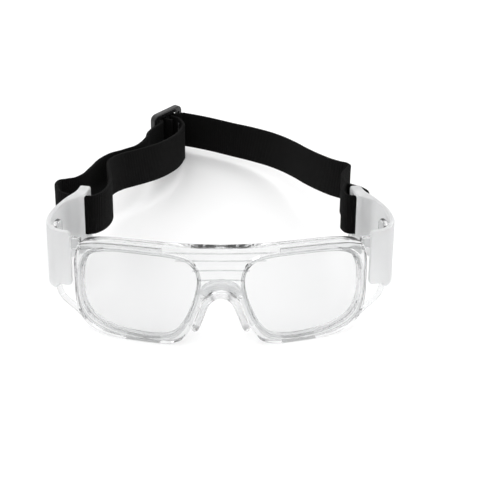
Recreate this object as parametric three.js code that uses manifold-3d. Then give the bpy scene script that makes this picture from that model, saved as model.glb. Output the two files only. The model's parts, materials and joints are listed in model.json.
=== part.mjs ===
// Sports protective goggles: a clear wrap-round front with two snap-in lenses, a soft nose saddle,
// two frosted snap-on arms, and an elastic head strap with a slide buckle.
// Millimetres. +X is the wearer's left, +Y runs from the front towards the back of the head, +Z is up.
// The goggles stand on the two lens rims and on the lower edge of the strap at the back.

import * as THREE from "three";
import { mergeVertices } from "three/addons/utils/BufferGeometryUtils.js";
import Module from "manifold-3d";

const wasm = await Module();
wasm.setup();

// ---------------------------------------------------------------- driving dimensions

const GAP = 0.3; // clearance between touching pieces
const OVERALL_WIDTH = 150; // over the widest part of the arms
const STRAP_REACH = 187; // front of the brow to the middle of the buckle
const FRONT_HEIGHT = 45.8; // table to the top of the brow
const FRONT_DEPTH = 5; // front to back through the moulded front
const FRONT_RADIUS = 140; // face-form curve of the front, seen from above
const FRONT_LEAN = 0.087; // how far the front leans back for each mm of height
const RIM_SIDE = 3.1; // clear plastic outside a lens opening, at its widest
const RIM_BROW = 4.7; // clear plastic above a lens opening

const LENS_SILL = 3.3; // table to the lower edge of a lens opening
const LENS_TO_MIDDLE = 10.2; // middle of the bridge to the nearest edge of an opening
const LENS_THICKNESS = 2;
const LENS_SETBACK = 1.4; // front face of the moulding to the front of the lens
const LENS_EDGE = 1; // how far a lens reaches into its groove

const PAD_THICKNESS = 3.2;
const PAD_DEPTH = 11;
const PAD_FRONT = 1.2; // front face of the moulding to the front edge of the saddle
const PAD_FLARE = 3.4; // how far the legs' rear edges spread towards the cheeks
const PAD_PLATE_HALF = 9.8; // half the width of the saddle's plate behind the bridge
const PAD_PLATE_RISE = 7.6;
const PAD_PLATE_THICKNESS = 2;
const PAD_PEG_RADIUS = 0.9;
const PAD_PEG_LENGTH = 2.4; // how far a saddle peg reaches into the front
const PAD_PEG_HEIGHT = 22.4;
const PAD_PEG_INSET = 1.6; // from the edge of a lens opening towards the middle

const ARM_THICKNESS = 2.2;
const ARM_BULGE = 11.8; // how far the arms stand out beyond the rims
const ARM_REACH = 34; // how far the arms run back from the front face of a rim
const ARM_FRONT_LOW = 20.5; // lower edge of an arm at its front end
const ARM_BROW_STEP = 0.8; // how far an arm's front end stands above the brow
const ARM_END_THICKNESS = 4.6;
const BAR_WIDTH = 3.6; // rear bar that the strap goes round
const SLOT_WIDTH = 3.4;
const SLOT_LOW = 29.2;
const SLOT_RAIL = 2; // arm above the strap slot
const VENT_AT = 15; // distance along an arm to its two small vents
const VENT_LENGTH = 5;
const VENT_HEIGHT = 1.4;
const VENT_LOWS = [27.5, 31.5];

const WING_THICKNESS = 2.2; // clear tab of the front, inside an arm
const WING_BACK = 24; // distance along the arm where the tab ends
const WING_DEPTH = 9.3; // brow to the tab's lower edge
const WING_ROOT = 1.4; // how far the tab is let into the rim
const LOWER_BAR_RADIUS = 1.25;
const SNAP_PEG_RADIUS = 1.1;
const SNAP_PEG_ALONG = 17; // distance along an arm to the two snap pegs
const SNAP_PEG_DROPS = [7.4, 2.8]; // brow to each snap peg
const SNAP_PEG_SHY = 0.3; // snap pegs end this far short of the arm's outer face

const STRAP_WIDTH = 19;
const STRAP_THICKNESS = 1.5;
const STRAP_SPARE = 0.8; // slot height beyond the strap, above and below
const STRAP_LEVEL_BACK = 10.4; // the strap stops falling this far before the buckle's middle
const STRAP_SET = 20; // the last stretch before the buckle, which keeps its shape

const TACK_LENGTH = 2.6; // zigzag stitching, along the strap
const TACK_DEPTH = 0.6;
const TACK_EDGE = 2; // strap edge to the stitching
const TACK_FROM_SLOT = 15.5;

const BUCKLE_ASIDE = -27.8;
const BUCKLE_LENGTH = 21;
const BUCKLE_THICKNESS = 3.2;
const BUCKLE_BAR_THICKNESS = 2.4; // the middle bar, thinner than the frame round it
const BUCKLE_BAR = 2.4; // width of the end and middle bars
const BUCKLE_RAIL = 2.8; // width of the top and bottom rails
const BUCKLE_SPARE = 0.4; // slot height beyond the strap, above and below
const BUCKLE_CORNER = 3;
const BUCKLE_SLOT_CORNER = 0.8;
const BUCKLE_ANGLE = 0.863; // radians, from +X towards +Y

const RIM_HALF_SPAN = OVERALL_WIDTH / 2 - ARM_BULGE;
const LENS_WIDTH = RIM_HALF_SPAN - RIM_SIDE - LENS_TO_MIDDLE;
const LENS_HEIGHT = FRONT_HEIGHT - RIM_BROW - LENS_SILL;
const SLOT_HEIGHT = STRAP_WIDTH + 2 * STRAP_SPARE;
const ARM_FRONT_HIGH = FRONT_HEIGHT + ARM_BROW_STEP;
const ARM_END_HIGH = SLOT_LOW + SLOT_HEIGHT + SLOT_RAIL;
const BUCKLE_MIDDLE = [BUCKLE_ASIDE, STRAP_REACH];
const BUCKLE_OPENING = STRAP_WIDTH + 2 * BUCKLE_SPARE;
const BUCKLE_HEIGHT = BUCKLE_OPENING + 2 * BUCKLE_RAIL;
const THROUGH = [-10, 60]; // Y range that passes right through the front

// ---------------------------------------------------------------- materials

const clear = new THREE.MeshStandardMaterial({
  color: 0xf4f7f8,
  roughness: 0.08,
  metalness: 0,
  transparent: true,
  opacity: 0.4,
});
const lensClear = new THREE.MeshStandardMaterial({
  color: 0xeceff0,
  roughness: 0.03,
  metalness: 0,
  transparent: true,
  opacity: 0.25,
});
const frosted = new THREE.MeshStandardMaterial({
  color: 0xdfe2e4,
  roughness: 0.5,
  metalness: 0,
  transparent: true,
  opacity: 0.8,
});
const silicone = new THREE.MeshStandardMaterial({
  color: 0xe9ebec,
  roughness: 0.35,
  metalness: 0,
  transparent: true,
  opacity: 0.6,
});
const webbing = new THREE.MeshStandardMaterial({ color: 0x121213, roughness: 0.9, metalness: 0 });
const buckleBlack = new THREE.MeshStandardMaterial({ color: 0x141415, roughness: 0.3, metalness: 0 });
const thread = new THREE.MeshStandardMaterial({ color: 0x1c1c1e, roughness: 0.7, metalness: 0 });

// ---------------------------------------------------------------- solids

function solidOf(geometry) {
  const g = geometry.index ? geometry.clone() : geometry;
  g.deleteAttribute("normal");
  g.deleteAttribute("uv");
  const merged = mergeVertices(g, 1e-4);
  const mesh = new wasm.Mesh({
    numProp: 3,
    vertProperties: new Float32Array(merged.attributes.position.array),
    triVerts: new Uint32Array(merged.index.array),
  });
  return new wasm.Manifold(mesh);
}

function geometryOf(solid) {
  const made = solid.getMesh();
  const g = new THREE.BufferGeometry();
  g.setAttribute("position", new THREE.BufferAttribute(made.vertProperties, 3));
  g.setIndex(new THREE.BufferAttribute(made.triVerts, 1));
  g.computeVertexNormals();
  return g;
}

// A box whose unit coordinates (each 0 to 1) are carried to a place by the function place(u, v, w).
// Where that turns it inside out, its faces are turned back.
function shapedBox(uSteps, wSteps, place) {
  const g = new THREE.BoxGeometry(1, 1, 1, uSteps, 1, wSteps);
  const p = g.attributes.position;
  for (let i = 0; i < p.count; i++) {
    const [x, y, z] = place(p.getX(i) + 0.5, p.getY(i) + 0.5, p.getZ(i) + 0.5);
    p.setXYZ(i, x, y, z);
  }
  const solid = solidOf(g);
  return solid.volume() > 0 ? solid : solidOf(turnFaces(g));
}

function turnFaces(g) {
  const index = g.index.array;
  for (let i = 0; i < index.length; i += 3) {
    [index[i + 1], index[i + 2]] = [index[i + 2], index[i + 1]];
  }
  return g;
}

function mirrorX(solid) {
  const g = geometryOf(solid);
  g.scale(-1, 1, 1);
  return solidOf(turnFaces(g));
}

// An outline in X and Z, pushed through from y0 to y1.
function throughPlate(outline, y0, y1) {
  const shape = new THREE.Shape(outline.map(([x, z]) => new THREE.Vector2(x, z)));
  const g = new THREE.ExtrudeGeometry(shape, { depth: y1 - y0, bevelEnabled: false });
  g.rotateX(Math.PI / 2);
  g.translate(0, y1, 0);
  return solidOf(g);
}

function rod(radius, length, sides, from, along) {
  const g = new THREE.CylinderGeometry(radius, radius, length, sides);
  g.translate(0, length / 2, 0);
  const turn = new THREE.Quaternion().setFromUnitVectors(
    new THREE.Vector3(0, 1, 0),
    new THREE.Vector3(...along).normalize(),
  );
  g.applyQuaternion(turn);
  g.translate(...from);
  return solidOf(g);
}

function smoothCurve(points, closed = false) {
  const vectors = points.map((p) => new THREE.Vector3(p[0], p[1], p[2] ?? 0));
  const curve = new THREE.CatmullRomCurve3(vectors, closed, "centripetal");
  curve.arcLengthDivisions = 400;
  return curve;
}

function smoothOutline(points, steps) {
  return smoothCurve(points, true)
    .getSpacedPoints(steps)
    .slice(0, steps)
    .map((p) => [p.x, p.y]);
}

// Moves a closed outline outwards by a distance; the outline runs anticlockwise.
function grow(outline, distance) {
  const n = outline.length;
  return outline.map((p, i) => {
    const a = outline[(i + n - 1) % n];
    const b = outline[(i + 1) % n];
    const run = Math.hypot(b[0] - a[0], b[1] - a[1]);
    return [p[0] + (distance * (b[1] - a[1])) / run, p[1] - (distance * (b[0] - a[0])) / run];
  });
}

const mirrored = (outline) => outline.map(([x, z]) => [-x, z]).reverse();

const clamp01 = (x) => Math.min(Math.max(x, 0), 1);

// A smooth rise from 0 at a to 1 at b.
const step = (x, a, b) => {
  const t = clamp01((x - a) / (b - a));
  return t * t * (3 - 2 * t);
};

// ---------------------------------------------------------------- front moulding

// A place on the front: distance aside, depth into the moulding, height.
function onFront(aside, depth, height) {
  const angle = Math.asin(aside / FRONT_RADIUS);
  const radius = FRONT_RADIUS - depth;
  return [radius * Math.sin(angle), FRONT_RADIUS - radius * Math.cos(angle) + FRONT_LEAN * height, height];
}

// A curved slab of the front between two depths; its base is the table.
function frontSlab(depth0, depth1, halfSpan) {
  const high = FRONT_HEIGHT + 6;
  return shapedBox(56, 1, (u, v, w) =>
    onFront((2 * u - 1) * halfSpan, depth0 + v * (depth1 - depth0), w * high),
  );
}

// The lens opening of the wearer's left eye, anticlockwise seen from the front.
function lensOutline() {
  const shape = [
    [0, 0.72], [0.045, 0.42], [0.13, 0.17], [0.215, 0.045], [0.35, 0], [0.55, 0], [0.74, 0.03],
    [0.9, 0.115], [0.975, 0.25], [1, 0.5], [0.985, 0.72], [0.935, 0.87], [0.85, 0.945], [0.7, 0.985],
    [0.45, 1], [0.2, 0.985], [0.08, 0.935], [0.02, 0.84],
  ];
  const placed = shape.map(([a, b]) => [LENS_TO_MIDDLE + a * LENS_WIDTH, LENS_SILL + b * LENS_HEIGHT]);
  return smoothOutline(placed, 72);
}

// The middle line of the nose saddle, seen from the front, from one leg tip over the top to the other.
const PAD_HALF = [
  [0, 23.2], [3.6, 22.2], [6.1, 19.6], [7.6, 16.4], [8.9, 12.9], [10.3, 9.2], [11.7, 6],
];
const padCurve = smoothCurve([...PAD_HALF.slice(1).reverse().map(([x, z]) => [-x, z]), ...PAD_HALF]);

// A point beside the saddle's middle line: u runs 0 to 1 from one tip to the other.
function padPoint(u, offset) {
  const p = padCurve.getPointAt(u);
  const t = padCurve.getTangentAt(u);
  return [p.x - offset * t.y, p.y + offset * t.x];
}

function frontOutline() {
  const edge = RIM_HALF_SPAN;
  const top = FRONT_HEIGHT;
  const side = [
    [LENS_TO_MIDDLE + 4.2, 5.6], [LENS_TO_MIDDLE + 6.5, 2.6], [LENS_TO_MIDDLE + 10.5, 0.7],
    [LENS_TO_MIDDLE + 16, 0], [LENS_TO_MIDDLE + 33, 0], [edge - 11, 1.2], [edge - 5.5, 3.8],
    [edge - 1.8, 8.4], [edge - 0.3, 15], [edge, 24], [edge - 0.1, 34], [edge - 1.6, top - 6],
    [edge - 4.5, top - 3.2], [edge - 13, top - 1.1], [edge - 27, top - 0.1], [edge - 45, top],
  ];
  const beside = PAD_THICKNESS / 2 + GAP;
  const arch = [];
  for (let i = 0; i <= 24; i++) {
    arch.push(padPoint(0.05 + (0.9 * i) / 24, beside)); // the legs' tips hang free below the arch
  }
  const half = smoothCurve([arch[24], ...side]).getSpacedPoints(60).slice(1);
  const right = half.map((p) => [p.x, p.y]);
  const left = [...right].reverse().map(([x, z]) => [-x, z]);
  return [...arch, ...right, ...left];
}

const ARM_FRONT = onFront(RIM_HALF_SPAN, 0, (ARM_FRONT_LOW + ARM_FRONT_HIGH) / 2)[1];
const ARM_BACK = ARM_FRONT + ARM_REACH;

// The arm's middle line seen from above, on the wearer's left, from its front end to the strap bar.
function armCurve() {
  const widest = OVERALL_WIDTH / 2 - ARM_THICKNESS / 2;
  return smoothCurve([
    [RIM_HALF_SPAN + GAP + 0.5, ARM_FRONT + 0.6], [widest - 5.2, ARM_FRONT + 1.8],
    [widest - 1, ARM_FRONT + 6], [widest, ARM_FRONT + 11.5], [widest - 1.7, ARM_FRONT + 17.2],
    [widest - 6.5, ARM_BACK - 11.6], [widest - 10.9, ARM_BACK - 7.6], [widest - 12.5, ARM_BACK - 4],
    [widest - 13.4, ARM_BACK],
  ]);
}

const arm = armCurve();
const ARM_LENGTH = arm.getLength();
const SLOT_START = ARM_LENGTH - BAR_WIDTH - SLOT_WIDTH;

// A place on an arm: distance along its middle line, offset outwards, height.
function onArm(along, outwards, height) {
  const u = clamp01(along / ARM_LENGTH);
  const p = arm.getPointAt(u);
  const t = arm.getTangentAt(u);
  return [p.x + outwards * t.y, p.y - outwards * t.x, height];
}

const armHigh = (along) =>
  ARM_FRONT_HIGH + (ARM_END_HIGH - ARM_FRONT_HIGH) * step(along, 0.35 * ARM_LENGTH, SLOT_START);
const armLow = (along) => ARM_FRONT_LOW - 3 * step(along, 5, 8) + 5.7 * step(along, 16, SLOT_START);
const armThick = (along) =>
  ARM_THICKNESS + (ARM_END_THICKNESS - ARM_THICKNESS) * step(along, SLOT_START - 9, SLOT_START - 2);

// The clear side of the front runs inside the arm: an upper tab and a lower bar.
const WING_INSET = ARM_THICKNESS / 2 + GAP + WING_THICKNESS / 2;
const WING_LOW = FRONT_HEIGHT - WING_DEPTH;

function wingTab() {
  const height = (WING_LOW + FRONT_HEIGHT) / 2;
  const inRim = [RIM_HALF_SPAN - WING_ROOT, RIM_HALF_SPAN - 0.2].map((x) =>
    onFront(x, FRONT_DEPTH - WING_THICKNESS / 2 - 0.2, height),
  );
  const beside = [6, 9, 13, 18, WING_BACK].map((along) => onArm(along, -WING_INSET, 0));
  const path = smoothCurve([...inRim, ...beside].map(([x, y]) => [x, y]));
  return shapedBox(28, 1, (u, v, w) => {
    const p = path.getPointAt(u);
    const t = path.getTangentAt(u);
    const aside = (v - 0.5) * WING_THICKNESS;
    const high = FRONT_HEIGHT - 3.8 + 2.6 * step(u, 0.15, 0.7);
    return [p.x + aside * t.y, p.y - aside * t.x, WING_LOW + w * (high - WING_LOW)];
  });
}

function lowerBar() {
  const foot = onFront(RIM_HALF_SPAN - 4.4, FRONT_DEPTH / 2, 5.6);
  const knee = onFront(RIM_HALF_SPAN - 0.5, FRONT_DEPTH / 2, 8.4);
  const low = onArm(8, -WING_INSET, 13.5);
  const high = onArm(10.5, -WING_INSET, ARM_FRONT_LOW + 2);
  const top = onArm(12, -WING_INSET, WING_LOW + 1);
  const path = smoothCurve([foot, knee, low, high, top]);
  const section = new THREE.Shape();
  section.absarc(0, 0, LOWER_BAR_RADIUS, 0, 2 * Math.PI);
  const g = new THREE.ExtrudeGeometry(section, { steps: 26, extrudePath: path, curveSegments: 5 });
  return solidOf(g);
}

// The two round pegs of a snap fit, square to the arm, from one offset outwards over a length.
function snapPegs(radius, outwards, length) {
  return SNAP_PEG_DROPS.map((drop) => {
    const from = onArm(SNAP_PEG_ALONG, outwards, FRONT_HEIGHT - drop);
    const to = onArm(SNAP_PEG_ALONG, outwards + 1, FRONT_HEIGHT - drop);
    return rod(radius, length, 12, from, [to[0] - from[0], to[1] - from[1], 0]);
  });
}

function frontFrame() {
  const slab = frontSlab(0, FRONT_DEPTH, RIM_HALF_SPAN + 8);
  const opening = lensOutline();
  const groove = grow(opening, LENS_EDGE + GAP);
  const grooveSlab = frontSlab(LENS_SETBACK - GAP, LENS_SETBACK + LENS_THICKNESS + GAP, RIM_HALF_SPAN);
  let body = slab.intersect(throughPlate(frontOutline(), ...THROUGH));
  for (const side of [opening, mirrored(opening)]) {
    body = body.subtract(throughPlate(side, ...THROUGH));
  }
  for (const side of [groove, mirrored(groove)]) {
    body = body.subtract(grooveSlab.intersect(throughPlate(side, ...THROUGH)));
  }
  let wing = wingTab().add(lowerBar());
  const pegLength = WING_THICKNESS / 2 + GAP + ARM_THICKNESS - SNAP_PEG_SHY;
  for (const peg of snapPegs(SNAP_PEG_RADIUS, -WING_INSET, pegLength)) {
    wing = wing.add(peg);
  }
  body = body.add(wing).add(mirrorX(wing));
  for (const side of [-1, 1]) {
    body = body.subtract(padPeg(side, GAP));
  }
  return body;
}

function lens(outline) {
  const slab = frontSlab(LENS_SETBACK, LENS_SETBACK + LENS_THICKNESS, RIM_HALF_SPAN);
  return slab.intersect(throughPlate(grow(outline, LENS_EDGE), ...THROUGH));
}

// ---------------------------------------------------------------- nose saddle

// A peg behind each inner corner of the rims, from inside the saddle's plate forwards.
function padPeg(side, extra) {
  const root = PAD_PLATE_THICKNESS / 2;
  const back = onFront(side * (LENS_TO_MIDDLE - PAD_PEG_INSET), FRONT_DEPTH + GAP + root, PAD_PEG_HEIGHT);
  return rod(PAD_PEG_RADIUS + extra, PAD_PEG_LENGTH + GAP + root + extra, 12, back, [0, -1, 0]);
}

// The arch follows the nose; behind the front its legs spread towards the cheeks.
function nosePad() {
  const arch = shapedBox(40, 6, (u, v, w) => {
    const [x, z] = padPoint(u, (v - 0.5) * PAD_THICKNESS);
    const back = w * PAD_DEPTH;
    const spread = back > FRONT_DEPTH ? PAD_FLARE * (2 * u - 1) * w * w : 0;
    return [x + spread, onFront(x, PAD_FRONT, z)[1] + back, z];
  });
  const plateOutline = [];
  for (let i = 0; i <= 16; i++) {
    const angle = (Math.PI * i) / 16;
    const across = PAD_PLATE_HALF * Math.cos(angle);
    plateOutline.push([across, PAD_PEG_HEIGHT - 0.8 + PAD_PLATE_RISE * Math.sin(angle)]);
  }
  const plate = frontSlab(FRONT_DEPTH + GAP, FRONT_DEPTH + GAP + PAD_PLATE_THICKNESS, 2 * PAD_PLATE_HALF);
  let pad = arch.add(plate.intersect(throughPlate(plateOutline, ...THROUGH)));
  for (const side of [-1, 1]) {
    pad = pad.add(padPeg(side, 0));
  }
  return pad;
}

// ---------------------------------------------------------------- arms

function armSolid() {
  const body = shapedBox(60, 1, (u, v, w) => {
    const along = u * ARM_LENGTH;
    const low = armLow(along);
    const rest = (v - 0.5) * armThick(along);
    const inwards = (armThick(along) - ARM_THICKNESS) / 2;
    return onArm(along, rest - inwards, low + w * (armHigh(along) - low));
  });
  const slot = shapedBox(2, 1, (u, v, w) =>
    onArm(SLOT_START + u * SLOT_WIDTH, (v - 0.5) * 4 * ARM_END_THICKNESS, SLOT_LOW + w * SLOT_HEIGHT),
  );
  let made = body.subtract(slot);
  for (const hole of snapPegs(SNAP_PEG_RADIUS + GAP, -2 * ARM_THICKNESS, 4 * ARM_THICKNESS)) {
    made = made.subtract(hole);
  }
  for (const low of VENT_LOWS) {
    const vent = shapedBox(1, 1, (u, v, w) =>
      onArm(VENT_AT + u * VENT_LENGTH, (v - 0.5) * 4 * ARM_THICKNESS, low + w * VENT_HEIGHT),
    );
    made = made.subtract(vent);
  }
  return made;
}

// ---------------------------------------------------------------- strap

// Lower edge of the strap at a distance back: level at the arms, then down to the buckle's slots.
const STRAP_HIGH = SLOT_LOW + STRAP_SPARE;
const STRAP_DOWN = BUCKLE_RAIL + BUCKLE_SPARE;
const strapLow = (y) => {
  const down = clamp01((y - ARM_BACK) / (STRAP_REACH - STRAP_LEVEL_BACK - ARM_BACK));
  return STRAP_HIGH + (STRAP_DOWN - STRAP_HIGH) * down;
};

// A band standing on edge along a path seen from above.
function band(points, steps, from = 0, to = 1) {
  const path = smoothCurve(points);
  return shapedBox(steps, 1, (u, v, w) => {
    const at = from + u * (to - from);
    const p = path.getPointAt(at);
    const t = path.getTangentAt(at);
    const run = Math.hypot(t.x, t.y);
    const aside = (v - 0.5) * STRAP_THICKNESS;
    return [p.x + (aside * t.y) / run, p.y - (aside * t.x) / run, strapLow(p.y) + w * STRAP_WIDTH];
  });
}

const slotMiddle = onArm(SLOT_START + SLOT_WIDTH / 2, -(ARM_END_THICKNESS - ARM_THICKNESS) / 2, 0);
const [SLOT_X, SLOT_Y] = slotMiddle;
const TACK_BACK = SLOT_Y + TACK_FROM_SLOT;

// The strap's route is drawn for a slot and a buckle at these places.
const ROUTE_SLOT = [60.55, 46.4];
const ROUTE_BUCKLE = [-27.8, 188.4];

// A point of the route: beside the arms it moves with their slots, beside the buckle with the buckle.
function onRoute([x, y]) {
  const start = ROUTE_SLOT[1] + TACK_FROM_SLOT;
  const far = clamp01((y - start) / (ROUTE_BUCKLE[1] - STRAP_SET - start));
  const wider = Math.sign(x) * (SLOT_X - ROUTE_SLOT[0]);
  const aside = (1 - far) * wider + far * (BUCKLE_MIDDLE[0] - ROUTE_BUCKLE[0]);
  const back = (1 - far) * (SLOT_Y - ROUTE_SLOT[1]) + far * (BUCKLE_MIDDLE[1] - ROUTE_BUCKLE[1]);
  return [x + aside, y + back];
}

// Sewn loop round the bar of the left arm, from the inside of the seam to its outside.
const LEFT_LOOP = [
  [SLOT_X - 4.6, TACK_BACK], [SLOT_X - 5.8, SLOT_Y + 10], [SLOT_X - 6.2, SLOT_Y + 4.6],
  [SLOT_X - 4.4, SLOT_Y + 0.6], [SLOT_X - 0.4, SLOT_Y - 0.2], [SLOT_X + 3.2, SLOT_Y + 0.4],
  [SLOT_X + 4.3, SLOT_Y + 4.4], [SLOT_X + 2, SLOT_Y + 9.6], [SLOT_X - 2.4, TACK_BACK],
];

const LEFT_RUN = [
  [SLOT_X - 3.5, TACK_BACK + GAP], ...[[55.95, 70], [55.95, 79], [57.95, 86.5], [59.15, 90]].map(onRoute),
];

const BACK_BAND = [
  [59.25, 90 + GAP], [60.6, 94], [59.4, 97.6], [56, 101.6], [52, 107.2], [47, 116], [42, 126.6],
  [36.8, 139.4], [31.2, 151], [25.2, 160.6], [19, 168.2], [12.9, 174.4], [6.4, 179.3], [0, 183.3],
  [-6, 186.5], [-11, 188.9], [-15.2, 190.7],
].map(onRoute);

// Places beside the buckle: distance along it from its middle bar, and distance out to its back face.
const buckleAlong = [Math.cos(BUCKLE_ANGLE), Math.sin(BUCKLE_ANGLE)];
const buckleOut = [-buckleAlong[1], buckleAlong[0]];
const atBuckle = ([along, out]) => [
  BUCKLE_MIDDLE[0] + along * buckleAlong[0] + out * buckleOut[0],
  BUCKLE_MIDDLE[1] + along * buckleAlong[1] + out * buckleOut[1],
];

// Half widths of the two turns of strap round the middle bar, one over the other.
const INNER_TURN = BUCKLE_BAR / 2 + STRAP_THICKNESS / 2 + GAP + 0.05;
const OUTER_TURN = INNER_TURN + STRAP_THICKNESS + GAP + 0.2;

// The strap weaves through the buckle: in by the far slot, over the middle bar, out by the near slot.
const OVER_BAR = [
  [OUTER_TURN + 2.6, -3.3], [OUTER_TURN, 0], [OUTER_TURN - 0.9, 3.3], [0, OUTER_TURN + 0.4],
  [0.9 - OUTER_TURN, 3.3], [-OUTER_TURN, 0], [-OUTER_TURN - 2.6, -3.3],
];
const WEAVE = [
  ...[[-15.5, 190.83], [-17.6, 191.6]].map(onRoute),
  ...[[8.4, -3.9], ...OVER_BAR, [-9.5, -4.4]].map(atBuckle),
];

const OUTER_RUN = [
  atBuckle([-9.8, -4.45]), ...[
    [-33.4, 171.5], [-35.8, 161], [-36.8, 148], [-40.6, 133.5], [-46.6, 124.6], [-52.4, 117], [-56.6, 106.5],
    [-59.8, 91], [-62.6, 79], [-66, 73], [-69.4, 70.2], [-72.4, 67.2], [-73.2, 61.5], [-72.2, 56],
  ].map(onRoute),
];

const RIGHT_FOLD = [
  ...[[-72.1, 55.6], [-70.4, 51.2]].map(onRoute), [-SLOT_X - 4, SLOT_Y + 0.9], [-SLOT_X + 0.4, SLOT_Y - 0.2],
  [-SLOT_X + 4.6, SLOT_Y + 0.4], [-SLOT_X + 6.65, SLOT_Y + 2.2], onRoute([-51.8, 52]),
];

const INNER_RUN = [
  [-51.65, 52.35], [-50, 58], [-49.4, 67], [-50.4, 79], [-51.8, 91], [-52.4, 102], [-50.6, 110],
  [-46.8, 117], [-41.6, 123], [-36, 129.4], [-30.4, 137], [-25.4, 147], [-21.6, 158], [-19.4, 170],
].map(onRoute);

// The strap's end comes to the buckle from the inside and is folded round its middle bar.
const ROUND_BAR = [
  [INNER_TURN, -6.5], [INNER_TURN, -2.4], [INNER_TURN, 0.3], [INNER_TURN - 0.4, 2], [0, INNER_TURN + 0.45],
  [0.4 - INNER_TURN, 2], [-INNER_TURN, 0.3], [-INNER_TURN, -2.4], [0.9 - INNER_TURN, -5.6],
];
const END_FOLD = [...[[-19.35, 170.4], [-18.7, 178]].map(onRoute), ...ROUND_BAR.map(atBuckle)];

function roundedRectangle(width, height, corner, cornerSteps) {
  const outline = [];
  for (const [sx, sz, start] of [[1, -1, -0.5], [1, 1, 0], [-1, 1, 0.5], [-1, -1, 1]]) {
    for (let i = 0; i <= cornerSteps; i++) {
      const angle = Math.PI * (start + (0.5 * i) / cornerSteps);
      outline.push([
        sx * (width / 2 - corner) + corner * Math.cos(angle),
        sz * (height / 2 - corner) + corner * Math.sin(angle),
      ]);
    }
  }
  return outline;
}

function buckle() {
  const half = BUCKLE_THICKNESS / 2;
  const slotLength = BUCKLE_LENGTH / 2 - 1.5 * BUCKLE_BAR;
  const slot = roundedRectangle(slotLength, BUCKLE_OPENING, BUCKLE_SLOT_CORNER, 3);
  let plate = throughPlate(roundedRectangle(BUCKLE_LENGTH, BUCKLE_HEIGHT, BUCKLE_CORNER, 5), -half, half);
  for (const side of [-1, 1]) {
    const middle = (side * (slotLength + BUCKLE_BAR)) / 2;
    plate = plate.subtract(throughPlate(slot.map(([x, z]) => [x + middle, z]), -half - 1, half + 1));
  }
  const shaved = roundedRectangle(2 * BUCKLE_BAR, BUCKLE_OPENING, BUCKLE_SLOT_CORNER, 3);
  for (const [near, far] of [[BUCKLE_BAR_THICKNESS / 2, half + 1], [-half - 1, -BUCKLE_BAR_THICKNESS / 2]]) {
    plate = plate.subtract(throughPlate(shaved, near, far));
  }
  return plate;
}

// A block of zigzag stitching standing on the outer side of a band, and the turn that lays it there.
function barTack(name, points, u, side) {
  const path = smoothCurve(points);
  const p = path.getPointAt(u);
  const t = path.getTangentAt(u);
  const block = new THREE.BoxGeometry(TACK_LENGTH, TACK_DEPTH, STRAP_WIDTH - 2 * TACK_EDGE);
  const mesh = piece(name, block, thread);
  const off = side * (STRAP_THICKNESS / 2 + GAP + TACK_DEPTH / 2);
  mesh.position.set(p.x + off * t.y, p.y - off * t.x, strapLow(p.y) + STRAP_WIDTH / 2);
  mesh.rotation.z = Math.atan2(t.y, t.x);
}

// ---------------------------------------------------------------- assembly

const goggles = new THREE.Group();

function piece(name, shape, material) {
  const mesh = new THREE.Mesh(shape.isBufferGeometry ? shape : geometryOf(shape), material);
  mesh.name = name;
  goggles.add(mesh);
  return mesh;
}

piece("front_frame", frontFrame(), clear);
piece("lens_left", lens(lensOutline()), lensClear);
piece("lens_right", lens(mirrored(lensOutline())), lensClear);
piece("nose_pad", nosePad(), silicone);
piece("arm_left", armSolid(), frosted);
piece("arm_right", mirrorX(armSolid()), frosted);

piece("strap_loop_left", band(LEFT_LOOP, 30), webbing);
piece("strap_run_left", band(LEFT_RUN, 12), webbing);
piece("strap_back_band", band(BACK_BAND, 44), webbing);
piece("strap_weave", band(WEAVE, 24), webbing);
piece("strap_run_outer", band(OUTER_RUN, 48), webbing);
piece("strap_fold_right", band(RIGHT_FOLD, 20), webbing);
piece("strap_run_inner", band(INNER_RUN, 40), webbing);
piece("strap_end_fold", band(END_FOLD, 26), webbing);

const slideBuckle = piece("strap_buckle", buckle(), buckleBlack);
slideBuckle.rotation.z = BUCKLE_ANGLE;
slideBuckle.position.set(...BUCKLE_MIDDLE, BUCKLE_HEIGHT / 2);

barTack("bar_tack_left", LEFT_LOOP, 0.95, 1);
barTack("bar_tack_buckle", END_FOLD, 0.53, -1);

// The origin is the middle of the base of the whole object.
const box = new THREE.Box3().setFromObject(goggles);
goggles.position.set(-(box.min.x + box.max.x) / 2, -(box.min.y + box.max.y) / 2, -box.min.z);

export default goggles;
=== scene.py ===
# %% [markdown]
# # Clear sports goggles with an elastic head strap
# The goggles are a clear moulded front with two snap-in lenses, a soft nose saddle, two frosted arms and a
# black elastic strap that runs through a slide buckle. This lesson builds their looks round a finished
# mechanical model.

# %% Load the frame
import json
import math

import bmesh
import bpy
import numpy as np
from mathutils import Matrix, Vector

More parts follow.
